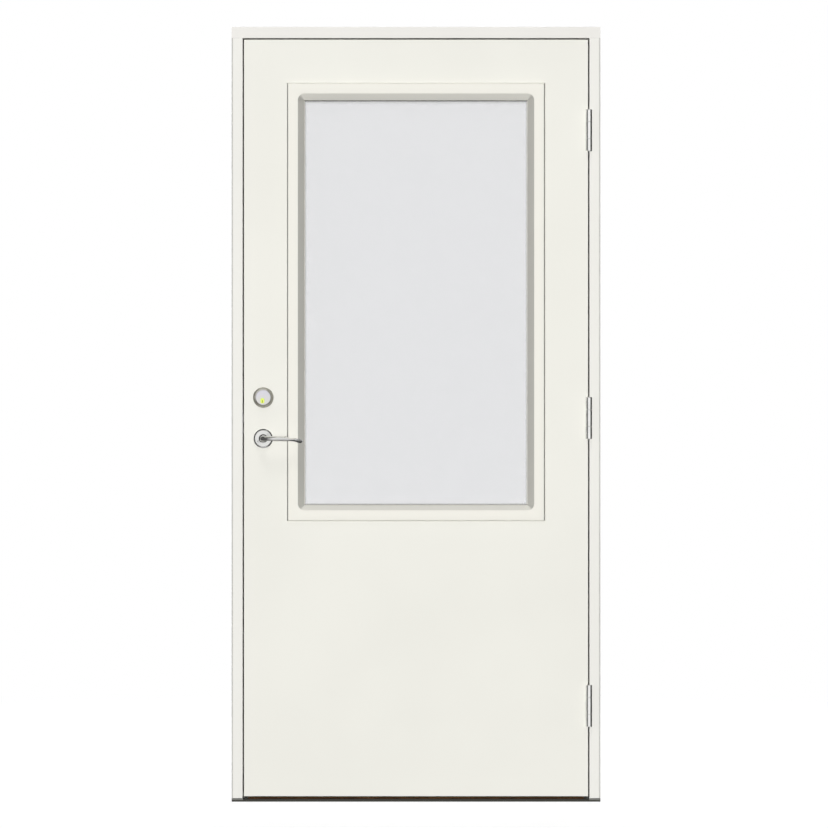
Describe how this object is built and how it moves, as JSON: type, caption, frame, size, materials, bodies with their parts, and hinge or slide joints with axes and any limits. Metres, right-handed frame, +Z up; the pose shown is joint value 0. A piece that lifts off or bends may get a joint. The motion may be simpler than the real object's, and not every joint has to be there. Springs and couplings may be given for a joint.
{
  "type": "exterior door with frame",
  "caption": "Outward-opening exterior door in its frame, with a glazed upper panel in a raised surround, knuckle hinges, lever handles and a lock cylinder.",
  "frame": {"origin": "middle of the sill's underside, at half the frame's depth", "axes": "+X to the right as seen from outside, +Y indoors, +Z up"},
  "size_m": [0.99, 0.166, 2.08],
  "materials": {
    "frame_paint": "white satin paint on timber",
    "leaf_paint": "warm white satin lacquer",
    "leaf_edge": "white satin paint on timber",
    "insulation": "rigid foam, hidden",
    "sill_metal": "dark anodised",
    "hardwood": "oiled hardwood",
    "foot_pad": "grey plastic",
    "seal_rubber": "black rubber",
    "glazing": "clear glass",
    "spacer_metal": "grey mill finish",
    "chrome_hardware": "polished",
    "steel_hardware": "bright zinc-plated steel",
    "satin_metal": "satin grey",
    "cylinder_face": "satin nickel",
    "plug_yellow": "yellow-green"
  },
  "bodies": {
    "frame": {"jamb_lock_side": "frame_paint", "jamb_hinge_side": "frame_paint", "head": "frame_paint", "sill_plate": "sill_metal", "sill_board": "hardwood", "foot_pad_lock_side": "foot_pad", "foot_pad_hinge_side": "foot_pad", "seal_hinge_side": "seal_rubber", "seal_lock_side": "seal_rubber", "seal_head": "seal_rubber", "seal_sill": "seal_rubber", "strike_plate": "steel_hardware", "hinge_low_frame_half": "steel_hardware", "hinge_low_pin": "steel_hardware", "hinge_middle_frame_half": "steel_hardware", "hinge_middle_pin": "steel_hardware", "hinge_high_frame_half": "steel_hardware", "hinge_high_pin": "steel_hardware"},
    "leaf": {"leaf_outer_skin": "leaf_paint", "leaf_inner_skin": "leaf_paint", "leaf_lock_stile": "leaf_edge", "leaf_hinge_stile": "leaf_edge", "leaf_top_rail": "leaf_edge", "leaf_middle_rail": "leaf_edge", "leaf_bottom_rail": "leaf_edge", "leaf_core": "insulation", "leaf_drip_seal": "seal_rubber", "glass_surround_outside": "leaf_paint", "glass_surround_inside": "leaf_paint", "glass_outer_pane": "glazing", "glass_inner_pane": "glazing", "glass_spacer": "spacer_metal", "lock_case": "steel_hardware", "latch_bolt": "steel_hardware", "dead_bolt": "steel_hardware", "rose_outside": "chrome_hardware", "rose_inside": "chrome_hardware", "cylinder_ring": "satin_metal", "thumb_turn_ring": "satin_metal", "lock_cylinder": "cylinder_face", "thumb_turn_base": "cylinder_face", "key_plug": "plug_yellow", "thumb_turn": "satin_metal", "hinge_low_leaf_half": "steel_hardware", "hinge_middle_leaf_half": "steel_hardware", "hinge_high_leaf_half": "steel_hardware"},
    "lever_set": {"lever_outside": "chrome_hardware", "lever_inside": "chrome_hardware", "lever_spindle": "steel_hardware"}
  },
  "joints": [
    {"name": "door_swing", "type": "hinge", "parent": "frame", "child": "leaf", "pos_m": [0.4635, -0.062, 1.03], "axis": [0, 0, 1], "range_deg": [0, 170]},
    {"name": "lever_turn", "type": "hinge", "parent": "leaf", "child": "lever_set", "pos_m": [-0.41, -0.025, 0.975], "axis": [0, 1, 0], "range_deg": [0, 45], "stiffness_Nm_per_rad": 1, "springref_deg": -28.65}
  ]
}
